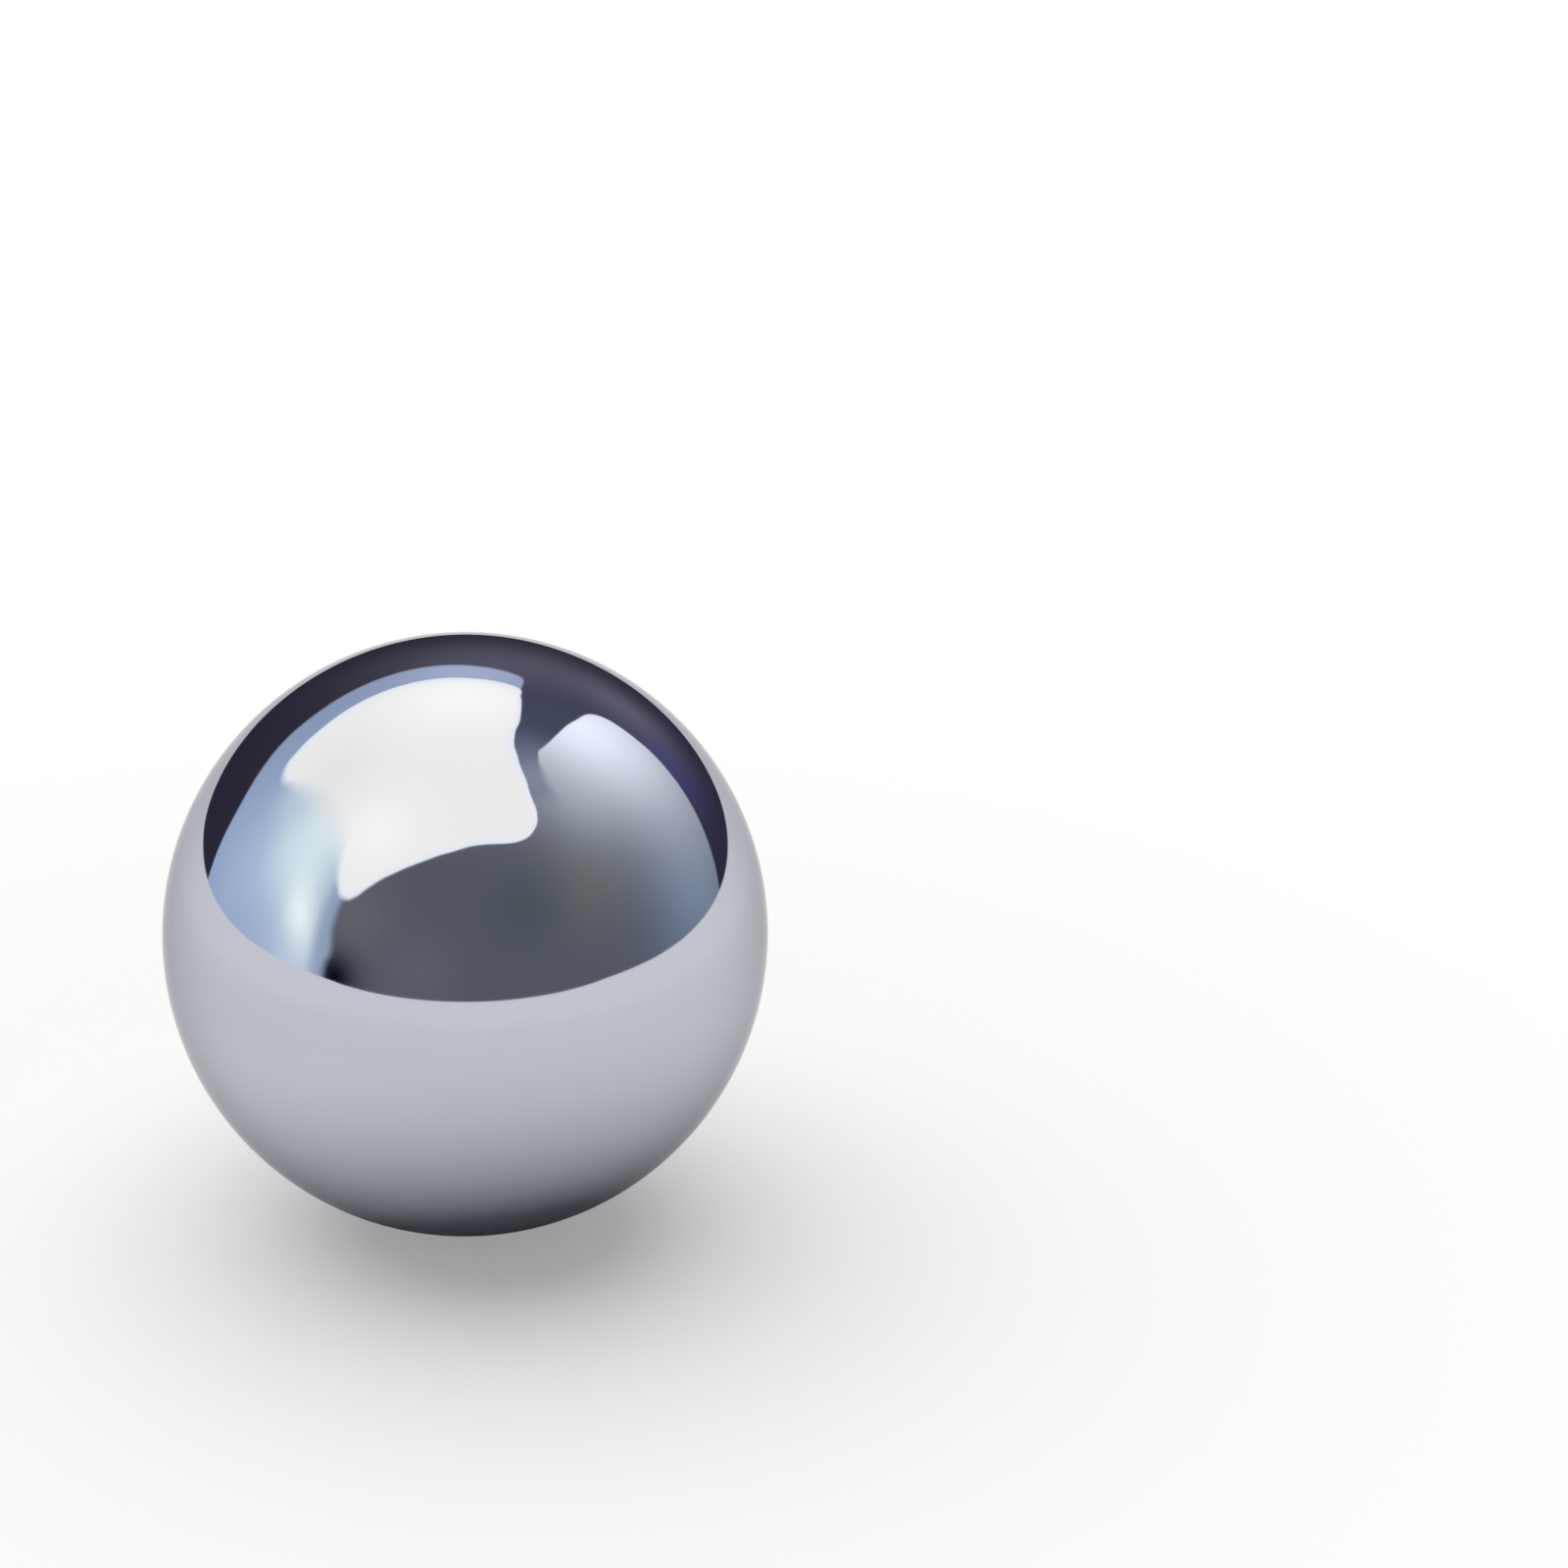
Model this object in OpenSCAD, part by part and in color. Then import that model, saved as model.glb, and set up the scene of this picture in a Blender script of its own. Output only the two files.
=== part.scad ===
// Steel ball: a solid, lapped and polished sphere with no flat, hole or mark.
// Its centre is the origin, and +Z is up.

/* [Ball] */
// Diameter of the ball, in millimetres
ball_d = 25.4; // [1:0.1:100]

/* [Hidden] */
// Facets round the drawn ball
$fn = 128;

// The whole object: one solid sphere, centred on the origin
module steel_ball() {
    color("silver") sphere(d = ball_d);
}

steel_ball();
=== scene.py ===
import math
import bpy
from mathutils import Euler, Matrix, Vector


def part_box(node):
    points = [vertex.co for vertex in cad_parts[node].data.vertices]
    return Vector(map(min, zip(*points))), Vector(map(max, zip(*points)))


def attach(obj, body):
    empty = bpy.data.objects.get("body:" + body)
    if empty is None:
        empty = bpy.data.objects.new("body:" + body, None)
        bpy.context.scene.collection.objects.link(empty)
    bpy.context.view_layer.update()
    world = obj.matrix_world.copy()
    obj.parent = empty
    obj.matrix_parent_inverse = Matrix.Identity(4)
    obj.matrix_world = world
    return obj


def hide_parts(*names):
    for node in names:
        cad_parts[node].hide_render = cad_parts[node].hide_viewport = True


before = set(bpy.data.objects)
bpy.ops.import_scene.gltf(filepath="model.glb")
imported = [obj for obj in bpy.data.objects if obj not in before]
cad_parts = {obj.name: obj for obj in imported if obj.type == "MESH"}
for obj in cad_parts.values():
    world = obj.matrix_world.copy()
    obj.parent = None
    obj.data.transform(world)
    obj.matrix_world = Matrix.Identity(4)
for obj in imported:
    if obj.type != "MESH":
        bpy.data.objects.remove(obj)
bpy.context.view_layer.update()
print("frame loaded")

ballLow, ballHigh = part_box("steel_ball")
ballRadius = (ballHigh[2] - ballLow[2]) / 2
rightAngle = 90.0              # degrees
plainWhite = (1.0, 1.0, 1.0)


def addNode(tree, kind, inputs=None, **settings):
    # inputs go by the socket's name, or by its number where names repeat
    node = tree.nodes.new(kind)
    for name, value in settings.items():
        setattr(node, name, value)
    for socket, value in (inputs or {}).items():
        fillSocket(tree, node.inputs[socket], value)
    return node


def fillSocket(tree, socket, value):
    # a socket is linked, anything else is typed in
    if isinstance(value, bpy.types.NodeSocket):
        tree.links.new(value, socket)
    else:
        socket.default_value = value


def calculate(tree, operation, first, second=0.0, third=0.0):
    node = addNode(tree, "ShaderNodeMath", {0: first, 1: second, 2: third}, operation=operation)
    return node.outputs[0]


def blendColour(tree, mask, under, over):
    # a Mix node has its sockets once for each kind of value, and these are the ones for colours
    underSocket, overSocket, resultSocket = 6, 7, 2
    node = addNode(tree, "ShaderNodeMix", data_type="RGBA")
    fillSocket(tree, node.inputs["Factor"], mask)
    fillSocket(tree, node.inputs[underSocket], under)
    fillSocket(tree, node.inputs[overSocket], over)
    return node.outputs[resultSocket]


def rgba(colour):
    return (*colour, 1.0)


def newGroup(name, inputs, outputs, kindOfTree="ShaderNodeTree"):
    group = bpy.data.node_groups.new(name, kindOfTree)
    for socketName, kind, value in inputs:
        socket = group.interface.new_socket(name=socketName, in_out="INPUT", socket_type=kind)
        socket.default_value = value
    for socketName, kind in outputs:
        group.interface.new_socket(name=socketName, in_out="OUTPUT", socket_type=kind)
    inside = group.nodes.new("NodeGroupInput").outputs
    outside = group.nodes.new("NodeGroupOutput").inputs
    return group, inside, outside


def placeGroup(tree, group, inputs):
    node = addNode(tree, "ShaderNodeGroup", node_tree=group)
    for socket, value in inputs.items():
        fillSocket(tree, node.inputs[socket], value)
    return node


def newMaterial(name):
    material = bpy.data.materials.new(name)
    material.use_nodes = True
    tree = material.node_tree
    tree.nodes.clear()
    output = tree.nodes.new("ShaderNodeOutputMaterial")
    return material, tree, output


def towards(azimuth, elevation):
    # azimuth 0 is the camera's side and 90 the right-hand side, elevation 0 is level, all in degrees
    turn = math.radians(azimuth)
    lift = math.radians(elevation)
    return Vector((math.cos(lift) * math.sin(turn), -math.cos(lift) * math.cos(turn), math.sin(lift)))


steel = {
    "colour": (0.53, 0.545, 0.615),     # what the metal sends back, straight on
    "cloudColour": (0.54, 0.555, 0.615),
    "edgeTint": (0.64, 0.64, 0.65),
    "cloudSize": 0.009,                 # metres, slow drift of the tone
    "noiseDetail": 2.0,                 # finer layers in the drift and in the marks
    "hazeSize": 0.0006,                 # metres, the lapped skin
    "hazeStretch": 9.0,                 # how much longer than wide a lapping mark is
    "hazeRange": (0.3, 0.7),            # most of the marks' noise lies between these
    "roughness": 0.04,
    "hazeRoughness": 0.01,              # how far the marks move the roughness up or down
    "markDepth": 0.000002,              # metres
    "markStrength": 0.1,
}


def makeLappingGroup():
    group, inside, outside = newGroup(
        "lapping marks",
        [("Vector", "NodeSocketVector", (0.0, 0.0, 0.0)),
         ("Scale", "NodeSocketFloat", 1000.0),
         ("Stretch", "NodeSocketFloat", 8.0),
         ("Detail", "NodeSocketFloat", 2.0)],
        [("Marks", "NodeSocketFloat")])
    crossings = ((0.3, 0.9, 0.2), (1.4, 0.1, 2.1), (2.3, 1.7, 0.8))   # radians, the lap turns the ball
    total = None
    stretchAxes = addNode(group, "ShaderNodeCombineXYZ", {
        "X": inside["Stretch"], "Y": 1.0, "Z": inside["Stretch"]})
    for turn in crossings:
        turned = addNode(group, "ShaderNodeVectorRotate", {"Vector": inside["Vector"], "Rotation": turn},
                         rotation_type="EULER_XYZ")
        squeezed = addNode(group, "ShaderNodeVectorMath",
                           {0: turned.outputs[0], 1: stretchAxes.outputs[0]}, operation="MULTIPLY")
        noise = addNode(group, "ShaderNodeTexNoise", {
            "Vector": squeezed.outputs[0], "Scale": inside["Scale"], "Detail": inside["Detail"]})
        value = noise.outputs["Fac"]
        total = value if total is None else calculate(group, "ADD", total, value)
    fillSocket(group, outside["Marks"], calculate(group, "DIVIDE", total, float(len(crossings))))
    return group


lappingMarks = makeLappingGroup()


def makeSteel():
    material, tree, output = newMaterial("polished_steel_lapped")
    place = addNode(tree, "ShaderNodeTexCoord").outputs["Object"]
    cloud = addNode(tree, "ShaderNodeTexNoise", {
        "Vector": place, "Scale": 1 / steel["cloudSize"], "Detail": steel["noiseDetail"]}).outputs["Fac"]
    marks = placeGroup(tree, lappingMarks, {
        "Vector": place,
        "Scale": 1 / (steel["hazeSize"] * steel["hazeStretch"]),
        "Stretch": steel["hazeStretch"],
        "Detail": steel["noiseDetail"]}).outputs["Marks"]
    colour = blendColour(tree, cloud, rgba(steel["colour"]), rgba(steel["cloudColour"]))
    faintest, strongest = steel["hazeRange"]
    roughness = addNode(tree, "ShaderNodeMapRange", {
        "Value": marks,
        "From Min": faintest,
        "From Max": strongest,
        "To Min": steel["roughness"] - steel["hazeRoughness"],
        "To Max": steel["roughness"] + steel["hazeRoughness"]}).outputs[0]
    bump = addNode(tree, "ShaderNodeBump", {
        "Strength": steel["markStrength"],
        "Distance": steel["markDepth"],
        "Height": marks})
    shader = addNode(tree, "ShaderNodeBsdfPrincipled", {
        "Base Color": colour,
        "Metallic": 1.0,
        "Roughness": roughness,
        "Normal": bump.outputs[0],
        "Specular Tint": rgba(steel["edgeTint"])})
    tree.links.new(shader.outputs[0], output.inputs["Surface"])
    return material


steelFinish = makeSteel()
print("steel made")


ball = {
    "diameter": 2 * ballRadius,
    "facets": 80,                # rows of faces along each side of the cube it is blown up from
}


def newShape(name, sizeName):
    return newGroup(
        name,
        [(sizeName, "NodeSocketFloat", 1.0),
         ("Facets", "NodeSocketInt", 1),
         ("Finish", "NodeSocketMaterial", None)],
        [("Geometry", "NodeSocketGeometry")],
        "GeometryNodeTree")


def finishShape(tree, outside, geometry, finish):
    real = addNode(tree, "GeometryNodeRealizeInstances", {"Geometry": geometry})
    finished = addNode(tree, "GeometryNodeSetMaterial", {"Geometry": real.outputs[0], "Material": finish})
    tree.links.new(finished.outputs[0], outside["Geometry"])


def makeBallTree():
    tree, inside, outside = newShape("ball shape", "Diameter")
    rows = calculate(tree, "ADD", inside["Facets"], 1.0)
    # each side of the cube lies one unit from its middle
    cube = addNode(tree, "GeometryNodeMeshCube", {
        "Size": (2.0, 2.0, 2.0), "Vertices X": rows, "Vertices Y": rows, "Vertices Z": rows})
    place = tree.nodes.new("GeometryNodeInputPosition").outputs[0]
    # equal steps of angle along each side, so that the faces stay nearly square
    angle = addNode(tree, "ShaderNodeVectorMath", {0: place, "Scale": math.pi / 4}, operation="SCALE")
    slope = addNode(tree, "ShaderNodeVectorMath", {0: angle.outputs[0]}, operation="TANGENT")
    outward = addNode(tree, "ShaderNodeVectorMath", {0: slope.outputs[0]}, operation="NORMALIZE")
    radius = calculate(tree, "MULTIPLY", inside["Diameter"], 0.5)
    blown = addNode(tree, "ShaderNodeVectorMath", {
        0: outward.outputs[0], "Scale": radius}, operation="SCALE")
    moved = addNode(tree, "GeometryNodeSetPosition", {
        "Geometry": cube.outputs["Mesh"], "Position": blown.outputs[0]})
    smooth = addNode(tree, "GeometryNodeSetShadeSmooth", {"Geometry": moved.outputs[0]})
    finishShape(tree, outside, smooth.outputs[0], inside["Finish"])
    return tree


def growMesh(name, tree, values):
    # runs the tree on an empty object and keeps the result as a plain mesh
    holder = bpy.data.objects.new(name, bpy.data.meshes.new(name))
    bpy.context.scene.collection.objects.link(holder)
    modifier = holder.modifiers.new("shape", "NODES")
    modifier.node_group = tree
    for item in tree.interface.items_tree:
        if item.item_type == "SOCKET" and item.in_out == "INPUT":
            modifier[item.identifier] = values[item.name]
    depsgraph = bpy.context.evaluated_depsgraph_get()
    plain = bpy.data.meshes.new_from_object(holder.evaluated_get(depsgraph))
    holder.modifiers.clear()
    holder.data = plain
    plain.name = name
    return holder


ballPiece = growMesh("polished_ball", makeBallTree(), {
    "Diameter": ball["diameter"], "Facets": ball["facets"], "Finish": steelFinish})
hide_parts("steel_ball")
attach(ballPiece, "root")
print("ball made:", len(ballPiece.data.polygons), "faces")


floor = {
    "colour": (0.95, 0.95, 0.95),
    "radius": 28.0,              # ball radii
    "corners": 256,
    "nearWhite": 0.3,            # share of plain white beside the ball, the rest is lit and keeps the shadow
    "shadowReach": (1.2, 5.0),   # ball radii from the ball's foot, over which the shadow ends in plain white
    "mirrorWhite": 0.0,          # the same share in reflections
    "mirrorReach": (2.5, 9.0),   # and the same reach
}


def makeTableTop(name, radius, height, corners):
    ring = []
    for corner in range(corners):
        turn = 2 * math.pi * corner / corners
        ring.append((radius * math.cos(turn), radius * math.sin(turn), height))
    mesh = bpy.data.meshes.new(name)
    mesh.from_pydata(ring, [], [tuple(range(corners))])
    top = bpy.data.objects.new(name, mesh)
    bpy.context.scene.collection.objects.link(top)
    return top


def whiteShare(tree, distance, reach, least):
    # how much of the floor is plain white, by how far from the ball's foot it is
    start, end = reach
    return addNode(tree, "ShaderNodeMapRange", {
        "Value": distance,
        "From Min": start * ballRadius,
        "From Max": end * ballRadius,
        "To Min": least}, interpolation_type="SMOOTHSTEP").outputs[0]


def makeFloorFinish():
    material, tree, output = newMaterial("pale_floor")
    place = addNode(tree, "ShaderNodeTexCoord").outputs["Object"]
    flat = addNode(tree, "ShaderNodeVectorMath", {0: place, 1: (1.0, 1.0, 0.0)}, operation="MULTIPLY")
    length = addNode(tree, "ShaderNodeVectorMath", {0: flat.outputs[0]}, operation="LENGTH")
    distance = length.outputs["Value"]
    seenShare = whiteShare(tree, distance, floor["shadowReach"], floor["nearWhite"])
    mirrorShare = whiteShare(tree, distance, floor["mirrorReach"], floor["mirrorWhite"])
    path = tree.nodes.new("ShaderNodeLightPath").outputs
    mirrored = calculate(tree, "MAXIMUM", path["Is Glossy Ray"], path["Is Transmission Ray"])
    direct = calculate(tree, "MULTIPLY", path["Is Camera Ray"], seenShare)
    share = calculate(tree, "MAXIMUM", direct, calculate(tree, "MULTIPLY", mirrored, mirrorShare))
    lit = addNode(tree, "ShaderNodeBsdfDiffuse", {"Color": rgba(floor["colour"])})
    white = addNode(tree, "ShaderNodeEmission", {"Color": rgba(plainWhite), "Strength": 1.0})
    mixed = addNode(tree, "ShaderNodeMixShader", {0: share, 1: lit.outputs[0], 2: white.outputs[0]})
    tree.links.new(mixed.outputs[0], output.inputs["Surface"])
    return material


floorPiece = makeTableTop("floor", floor["radius"] * ballRadius, ballLow[2], floor["corners"])
floorPiece.data.materials.append(makeFloorFinish())
print("floor made")


# the studio tent round it all: a white top sheet, a pale blue side sheet, a grey front wall,
# a dark backdrop and a white foot that meets the floor
# angles are in degrees, as towards() takes them, and spreads and softnesses too
# colours are light, with 1 as white, and a pool is (azimuth, elevation, spread, colour), painted light where
# its colour is brighter than what it lies on and painted shade where it is darker
# an upper or lower edge is (azimuth, elevation) points, and a side edge is (elevation, azimuth) points
backdrop = {
    "colour": (0.045, 0.04, 0.065),
    "pools": [
        (171, 31, 22, (0.18, 0.17, 0.22)),
        (134, 22, 13, (0.10, 0.10, 0.26)),
        (151, 22, 11, (0.22, 0.205, 0.27)),
        (145, 52, 18, (0.10, 0.11, 0.17)),
        (124, 69, 9, (0.15, 0.17, 0.26)),
        (66, 61, 12, (0.36, 0.40, 0.48)),
        (86, 68, 11, (0.39, 0.43, 0.52)),
    ],
}
wall = {
    "colour": (0.15, 0.165, 0.19),
    "topEdge": [(-180, 80), (40, 80), (56, 64), (72, 61), (86, 65.5), (180, 73)],
    "sideEdge": [(-5, 111), (18, 127.5), (28, 136), (38, 143.5), (46, 140), (54, 134), (64, 120.5),
                 (67, 114.5), (69.5, 90), (90, 90)],
    "pools": [
        (55, 32, 16, (0.20, 0.21, 0.20)),
        (78, 53, 14, (0.30, 0.33, 0.36)),
        (-45, 22, 14, (0.21, 0.22, 0.22)),
        (-18, 8, 14, (0.185, 0.20, 0.22)),
        # painted shade: a slightly dimmer pool on the wall
        (26, 32, 13, (0.13, 0.15, 0.165)),
        (100, 5, 22, (0.25, 0.32, 0.44)),
        (138, 47, 31, (1.54, 1.60, 1.63)),
        # painted shade: a near-black pool low on the wall, beside the side sheet's edge
        (-49, 1, 9, (0.005, 0.005, 0.025)),
    ],
    "softness": 0.7,
    "topSoftness": 1.6,
    "fadeAt": (64, 60, 10),            # here the top edge is lost: azimuth, elevation, spread
    "fadeSoftness": 12.0,
}
sideSheet = {
    "colour": (0.47, 0.57, 0.76),
    "lowEdge": [(-180, 35.5), (-152, 30), (-138, 23.5), (-126, 16), (-119, 1), (-116, -6), (150, -6),
                (158, 56), (161.5, 50), (163.5, 44.5), (167, 38.5), (180, 35.5)],
    "rightEdge": [(-5, -54), (4, -53.5), (9, -52), (18, -53.5), (24, -53.5), (40, -50)],
    "farSide": 160,                    # azimuth past which it hangs on the right too
    "edgeShadeAt": -59.0,                   # azimuth past which its edge takes a painted shade, a dimmer colour where it turns away from the light
    "edgeShadeSoftness": 7.0,
    "edgeShadeColour": (0.51, 0.62, 0.76),
    "pools": [
        (180, 40, 14, (0.68, 0.78, 0.98)),
        (-104, 10, 24, (0.60, 0.76, 1.00)),
        (-108, 37, 8, (0.80, 0.95, 1.05)),
        (-66, 0, 17, (0.84, 0.96, 1.14)),
        (-81, 28, 16, (0.93, 1.14, 1.28)),
        (-80, 38, 16, (1.19, 1.37, 1.30)),
    ],
    "streakAt": (-69.0, 16.5),         # a lamp glows through the sheet here
    "streakLean": 0.36,                # degrees to the left for each degree up
    "streakSize": (8.0, 11.5),         # half width and half height
    "streakColour": (1.47, 1.57, 1.45),
    "softness": 1.8,
    "rightSoftness": 4.5,
}
topSheet = {
    "colour": (1.55, 1.51, 1.35),
    "edge": [(-180, 45), (-160, 42), (-140, 37), (-130, 32.5), (-123, 30), (-114, 34), (-104, 40),
             (-85, 43.5), (-70, 41), (-58, 30), (-53, 27), (-49.5, 28.5), (-45, 33.5), (-38, 40),
             (-22, 49), (-10, 53), (10, 56), (34, 54.5), (46, 56.5), (70, 69), (104, 74), (122, 73.5),
             (136, 70.5), (148, 63), (160.5, 50.5), (163.5, 46.5), (180, 45)],
    "pools": [
        (-178, 56, 18, (1.76, 1.71, 1.53)),
        (-56, 52, 13, (1.68, 1.63, 1.46)),
        (-106, 48, 14, (1.45, 1.41, 1.27)),
    ],
    "softness": 0.4,
    "fadeAt": (-87, 41, 22),           # here the sheet turns under and its edge is lost
    "fadeSoftness": 16.0,
    "hemWidth": 4.0,                   # the hem fades into the sheet over this
    "hemColour": (1.44, 1.50, 1.50),
}
foot = {
    "colour": plainWhite,              # as the floor's far part, which it carries on
    "edge": [(-180, -3.2), (-160, -2.2), (-140, -1.3), (-120, -0.65), (-100, -0.65), (-80, -0.5),
             (-60, -0.35), (-45, -0.9), (-25, -1.45), (0, -1.65), (25, -1.4), (45, -0.85), (60, -0.4),
             (80, -0.55), (115, -0.55), (145, -1.2), (165, -1.6), (180, -3.2)],
    "softness": 0.3,
}
tent = {
    "radius": 64.5,                    # ball radii
    "facets": 5,                       # subdivisions of its faces
    "azimuths": (-180.0, 180.0),       # what upper and lower edges run over
    "elevations": (-10.0, 90.0),       # what side edges run over
}


def makePoolGroup():
    group, inside, outside = newGroup(
        "light and shade pool",
        [("Direction", "NodeSocketVector", (0.0, 0.0, 1.0)),
         ("Centre", "NodeSocketVector", (0.0, 0.0, 1.0)),
         ("Spread", "NodeSocketFloat", 20.0)],
        [("Mask", "NodeSocketFloat")])
    along = addNode(group, "ShaderNodeVectorMath", {0: inside["Direction"], 1: inside["Centre"]},
                    operation="DOT_PRODUCT").outputs["Value"]
    # a bell curve, which is down to a third or so at the spread: e ^ (2 (cos a - 1) / spread ^ 2)
    away = calculate(group, "SUBTRACT", along, 1.0)
    spread = calculate(group, "RADIANS", inside["Spread"])
    tightness = calculate(group, "DIVIDE", 2.0, calculate(group, "MULTIPLY", spread, spread))
    falloff = calculate(group, "EXPONENT", calculate(group, "MULTIPLY", away, tightness))
    fillSocket(group, outside["Mask"], falloff)
    return group


def makeEdgeGroup():
    group, inside, outside = newGroup(
        "soft edge",
        [("Angle", "NodeSocketFloat", 0.0),
         ("Edge", "NodeSocketFloat", 0.0),
         ("Softness", "NodeSocketFloat", 2.0)],
        [("Mask", "NodeSocketFloat")])
    past = calculate(group, "SUBTRACT", inside["Angle"], inside["Edge"])
    ramp = calculate(group, "DIVIDE", past, inside["Softness"])
    # half of the softness lies on each side of the edge
    ease = addNode(group, "ShaderNodeMapRange", {"Value": ramp, "From Min": -0.5, "From Max": 0.5},
                   interpolation_type="SMOOTHSTEP")
    fillSocket(group, outside["Mask"], ease.outputs[0])
    return group


lightAndShadePool = makePoolGroup()
softEdge = makeEdgeGroup()


def outline(tree, angle, points, span):
    # a smooth curve through the points, read at the angle
    # the curve node runs from 0 to 1 across and up to 1 in height, so the points are shrunk to that
    low, high = span
    reach = max(abs(y) for x, y in points)
    along = addNode(tree, "ShaderNodeMapRange", {"Value": angle, "From Min": low, "From Max": high})
    curveNode = addNode(tree, "ShaderNodeFloatCurve", {"Value": along.outputs[0]})
    curve = curveNode.mapping.curves[0]
    curveNode.mapping.use_clip = False
    while len(curve.points) < len(points):
        curve.points.new(0.5, 0.5)   # anywhere, it is placed below
    for point, (x, y) in zip(curve.points, sorted(points)):
        point.location = ((x - low) / (high - low), y / reach)
        point.handle_type = "AUTO_CLAMPED"
    curveNode.mapping.update()
    return calculate(tree, "MULTIPLY", curveNode.outputs[0], float(reach))


def poolMask(tree, direction, azimuth, elevation, spread):
    return placeGroup(tree, lightAndShadePool, {
        "Direction": direction, "Centre": towards(azimuth, elevation), "Spread": float(spread)}).outputs[0]


def sheetColour(tree, direction, sheet):
    colour = rgba(sheet["colour"])
    for azimuth, elevation, spread, poolColour in sheet["pools"]:
        mask = poolMask(tree, direction, azimuth, elevation, spread)
        colour = blendColour(tree, mask, colour, rgba(poolColour))
    return colour


def edgeMask(tree, angle, edge, softness):
    return placeGroup(tree, softEdge, {"Angle": angle, "Edge": edge, "Softness": softness}).outputs[0]


def streakMask(tree, azimuth, elevation):
    # a long glow that leans to one side
    middleAzimuth, middleElevation = sideSheet["streakAt"]
    width, height = sideSheet["streakSize"]
    up = calculate(tree, "SUBTRACT", elevation, middleElevation)
    across = calculate(tree, "SUBTRACT", azimuth, middleAzimuth)
    across = calculate(tree, "MULTIPLY_ADD", up, sideSheet["streakLean"], across)
    across = calculate(tree, "DIVIDE", across, width)
    up = calculate(tree, "DIVIDE", up, height)
    away = calculate(tree, "MULTIPLY_ADD", up, up, calculate(tree, "MULTIPLY", across, across))
    return calculate(tree, "EXPONENT", calculate(tree, "MULTIPLY", away, -1.0))


def readSky(tree):
    # where a point of the tent lies, seen from the ball
    place = addNode(tree, "ShaderNodeTexCoord").outputs["Object"]
    direction = addNode(tree, "ShaderNodeVectorMath", {0: place}, operation="NORMALIZE").outputs[0]
    parts = addNode(tree, "ShaderNodeSeparateXYZ", {0: direction}).outputs
    elevation = calculate(tree, "DEGREES", calculate(tree, "ARCSINE", parts["Z"]))
    forward = calculate(tree, "MULTIPLY", parts["Y"], -1.0)
    azimuth = calculate(tree, "DEGREES", calculate(tree, "ARCTAN2", parts["X"], forward))
    return direction, azimuth, elevation


# each layer of the tent is a mask and a colour, and hides what is laid before it
def layWall(tree, direction, azimuth, elevation, sheetSide):
    topEdge = outline(tree, azimuth, wall["topEdge"], tent["azimuths"])
    sideEdge = outline(tree, elevation, wall["sideEdge"], tent["elevations"])
    fade = poolMask(tree, direction, *wall["fadeAt"])
    topSoftness = calculate(tree, "MULTIPLY_ADD", fade, wall["fadeSoftness"], wall["topSoftness"])
    underTop = edgeMask(tree, topEdge, elevation, topSoftness)
    withinSide = edgeMask(tree, sideEdge, azimuth, wall["softness"])
    pastSheet = edgeMask(tree, azimuth, sheetSide, sideSheet["rightSoftness"])
    mask = calculate(tree, "MULTIPLY", calculate(tree, "MULTIPLY", underTop, withinSide), pastSheet)
    return mask, sheetColour(tree, direction, wall)


def laySideSheet(tree, direction, azimuth, elevation, sheetSide):
    lowEdge = outline(tree, azimuth, sideSheet["lowEdge"], tent["azimuths"])
    above = edgeMask(tree, elevation, lowEdge, sideSheet["softness"])
    left = edgeMask(tree, sheetSide, azimuth, sideSheet["rightSoftness"])
    far = edgeMask(tree, azimuth, sideSheet["farSide"], sideSheet["softness"])
    mask = calculate(tree, "MULTIPLY", above, calculate(tree, "MAXIMUM", left, far))
    colour = sheetColour(tree, direction, sideSheet)
    streak = streakMask(tree, azimuth, elevation)
    colour = blendColour(tree, streak, colour, rgba(sideSheet["streakColour"]))
    # painted shade: near its right-hand edge the sheet takes a dimmer colour in place of its pools of light
    edgeShade = edgeMask(tree, azimuth, sideSheet["edgeShadeAt"], sideSheet["edgeShadeSoftness"])
    onLeft = calculate(tree, "LESS_THAN", azimuth, 0.0)
    shadedEdge = calculate(tree, "MULTIPLY", edgeShade, onLeft)
    return mask, blendColour(tree, shadedEdge, colour, rgba(sideSheet["edgeShadeColour"]))


def layTopSheet(tree, direction, azimuth, elevation):
    edge = outline(tree, azimuth, topSheet["edge"], tent["azimuths"])
    fade = poolMask(tree, direction, *topSheet["fadeAt"])
    softness = calculate(tree, "MULTIPLY_ADD", fade, topSheet["fadeSoftness"], topSheet["softness"])
    hemMiddle = calculate(tree, "ADD", edge, topSheet["hemWidth"] / 2)
    pastHem = edgeMask(tree, elevation, hemMiddle, topSheet["hemWidth"])
    plain = calculate(tree, "MAXIMUM", fade, pastHem)
    colour = sheetColour(tree, direction, topSheet)
    colour = blendColour(tree, plain, rgba(topSheet["hemColour"]), colour)
    return edgeMask(tree, elevation, edge, softness), colour


def layFoot(tree, azimuth, elevation):
    edge = outline(tree, azimuth, foot["edge"], tent["azimuths"])
    return edgeMask(tree, edge, elevation, foot["softness"]), rgba(foot["colour"])


def makeTentFinish():
    material, tree, output = newMaterial("tent_light")
    direction, azimuth, elevation = readSky(tree)
    sheetSide = outline(tree, elevation, sideSheet["rightEdge"], tent["elevations"])
    colour = sheetColour(tree, direction, backdrop)
    layers = (
        layWall(tree, direction, azimuth, elevation, sheetSide),
        laySideSheet(tree, direction, azimuth, elevation, sheetSide),
        layTopSheet(tree, direction, azimuth, elevation),
        layFoot(tree, azimuth, elevation))
    for mask, layerColour in layers:
        colour = blendColour(tree, mask, colour, layerColour)
    shader = addNode(tree, "ShaderNodeEmission", {"Color": colour})
    tree.links.new(shader.outputs[0], output.inputs["Surface"])
    return material


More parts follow.
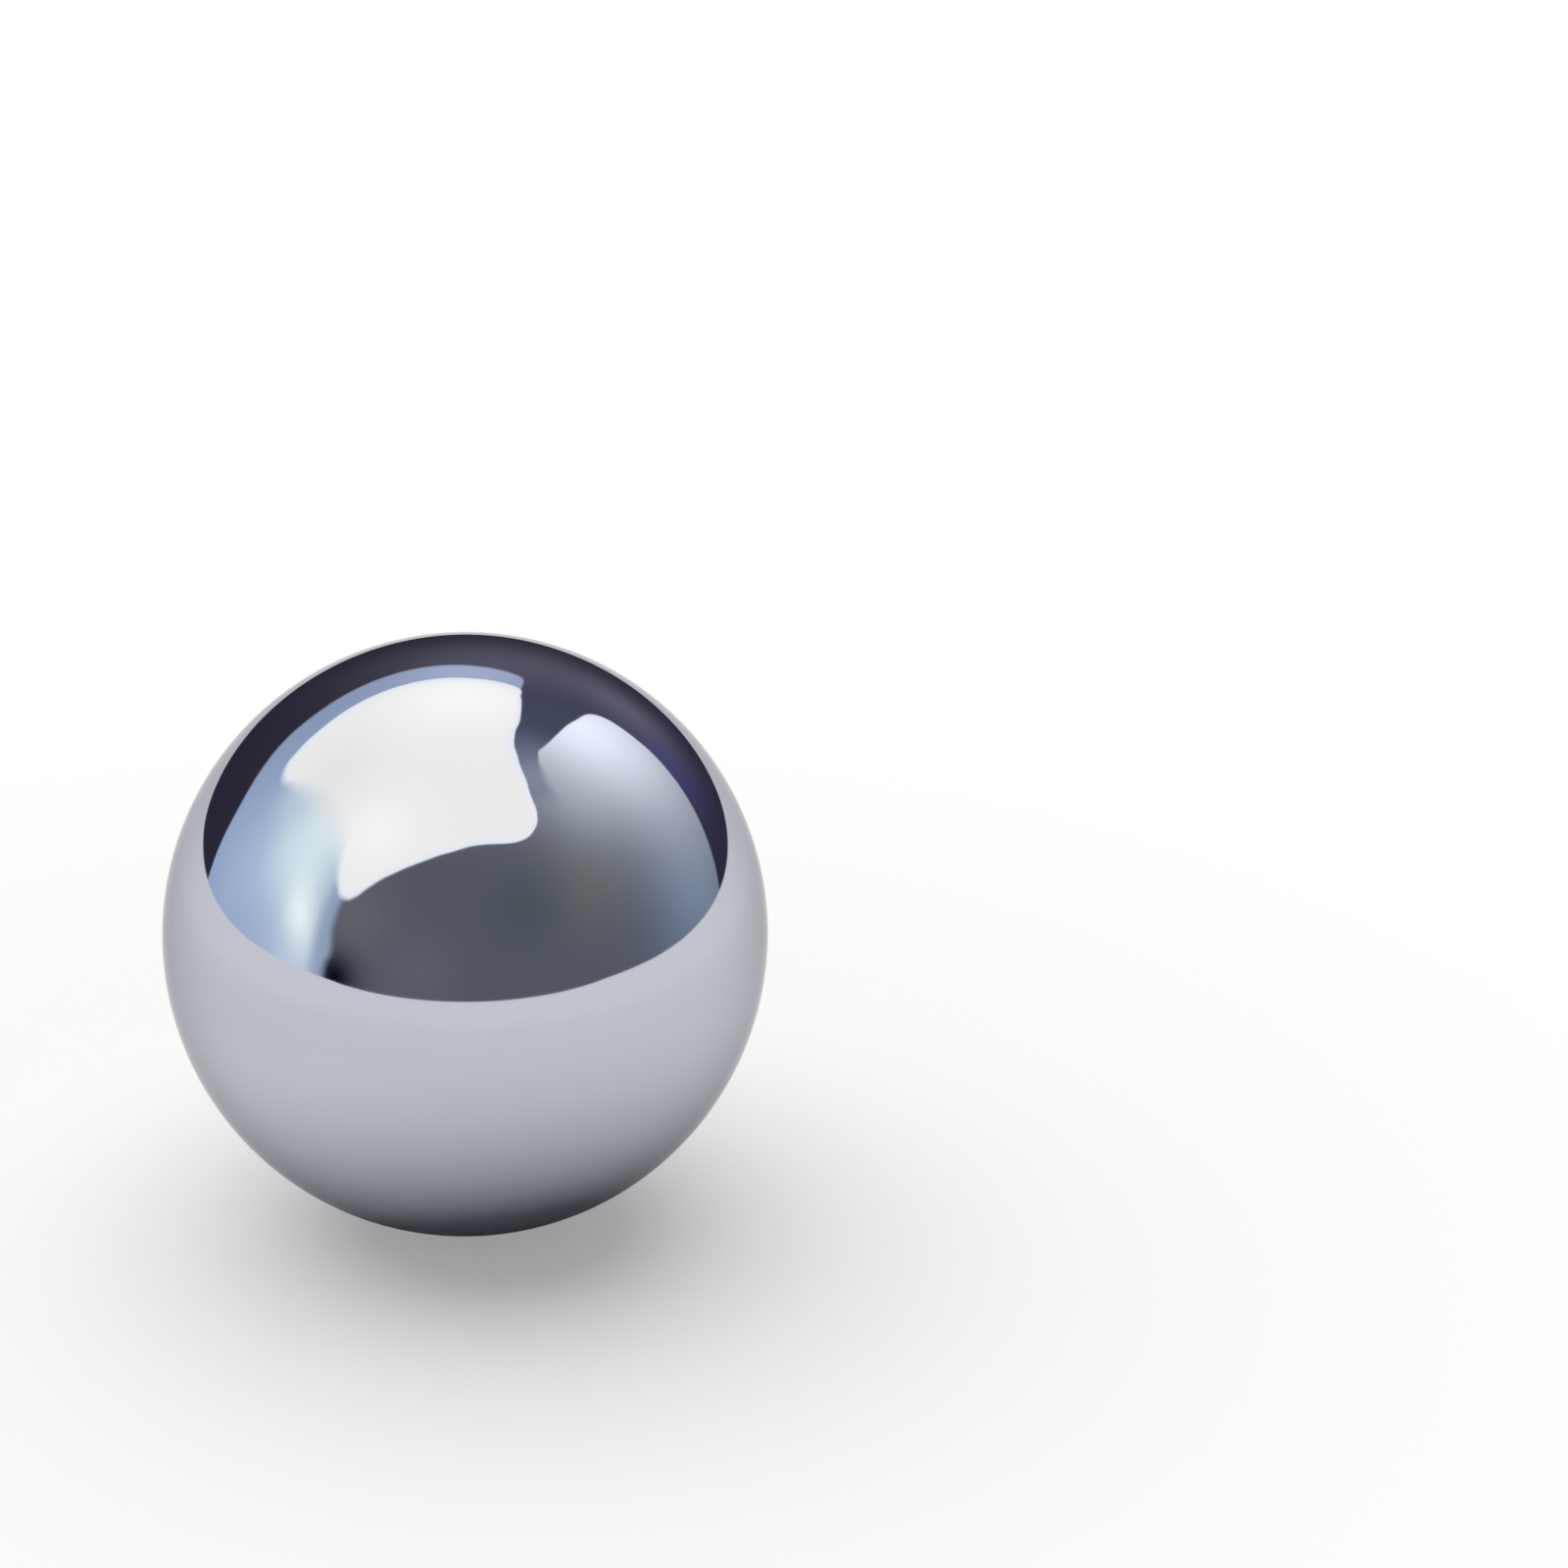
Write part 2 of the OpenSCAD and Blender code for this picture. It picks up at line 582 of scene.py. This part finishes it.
def makeTent():
    tree, inside, outside = newShape("tent shape", "Radius")
    sphere = addNode(tree, "GeometryNodeMeshIcoSphere", {
        "Radius": inside["Radius"], "Subdivisions": inside["Facets"]})
    finishShape(tree, outside, sphere.outputs["Mesh"], inside["Finish"])
    return growMesh("studio_tent", tree, {
        "Radius": tent["radius"] * ballRadius, "Facets": tent["facets"], "Finish": makeTentFinish()})


# the tent is there for the polished metal alone, the lamp and the world light the rest
tentPiece = makeTent()
for ray in ("camera", "diffuse", "transmission", "shadow", "volume_scatter"):
    setattr(tentPiece, "visible_" + ray, False)
print("tent made")


light = {
    "colour": (1.0, 0.998, 0.985),     # a touch warm
    "strength": 2.86,
    "angle": 90.0,                     # degrees, how wide the soft light is
    "from": (-145.0, 75.0),            # azimuth and elevation
    "around": 0.08,                    # what comes from everywhere else
}


def makeLamp():
    data = bpy.data.lights.new("soft_light", "SUN")
    data.color = light["colour"]
    data.energy = light["strength"]
    data.angle = math.radians(light["angle"])
    lamp = bpy.data.objects.new("soft_light", data)
    lamp.rotation_euler = towards(*light["from"]).to_track_quat("Z", "Y").to_euler()
    lamp.visible_glossy = False
    bpy.context.scene.collection.objects.link(lamp)


def makeWorld():
    # plain white where it is seen or mirrored, and a little light from everywhere else
    world = bpy.data.worlds.new("white_studio")
    bpy.context.scene.world = world
    world.use_nodes = True
    tree = world.node_tree
    tree.nodes.clear()
    path = tree.nodes.new("ShaderNodeLightPath").outputs
    seen = calculate(tree, "MAXIMUM", path["Is Camera Ray"], path["Is Glossy Ray"])
    seen = calculate(tree, "MAXIMUM", seen, path["Is Transmission Ray"])
    strength = addNode(tree, "ShaderNodeMapRange", {
        "Value": seen, "To Min": light["around"], "To Max": 1.0}).outputs[0]
    white = addNode(tree, "ShaderNodeBackground", {"Color": rgba(plainWhite), "Strength": strength})
    output = tree.nodes.new("ShaderNodeOutputWorld")
    tree.links.new(white.outputs[0], output.inputs["Surface"])


makeLamp()
makeWorld()
print("light made")


view = {
    "elevation": 23.5,           # degrees above the floor
    "distance": 14.0,            # ball radii, from the ball's centre
    "imageSize": 1600,           # pixels
    "ballAt": (476.2, 952.4),    # pixels, where the ball's centre lands
    "ballSize": 307.3,           # pixels, its radius
}


def makeCamera():
    half = view["imageSize"] / 2
    # the ball's outline is where the line of sight touches it, which gives the tangent of half the view
    spread = half / view["ballSize"] / math.sqrt(view["distance"] ** 2 - 1)
    data = bpy.data.cameras.new("camera")
    data.lens = data.sensor_width / 2 / spread
    camera = bpy.data.objects.new("camera", data)
    bpy.context.scene.collection.objects.link(camera)
    camera.location = towards(0, view["elevation"]) * view["distance"] * ballRadius
    across = (view["ballAt"][0] - half) / half * spread
    up = (half - view["ballAt"][1]) / half * spread
    # aimed at the ball first, then turned aside to put the ball at its place in the frame
    level = Euler((math.radians(rightAngle - view["elevation"]), 0, 0)).to_quaternion()
    aside = Vector((across, up, -1)).rotation_difference(Vector((0, 0, -1)))
    camera.rotation_euler = (level @ aside).to_euler()
    bpy.context.scene.camera = camera


makeCamera()
bpy.context.scene.view_settings.view_transform = "Standard"
print("camera made")
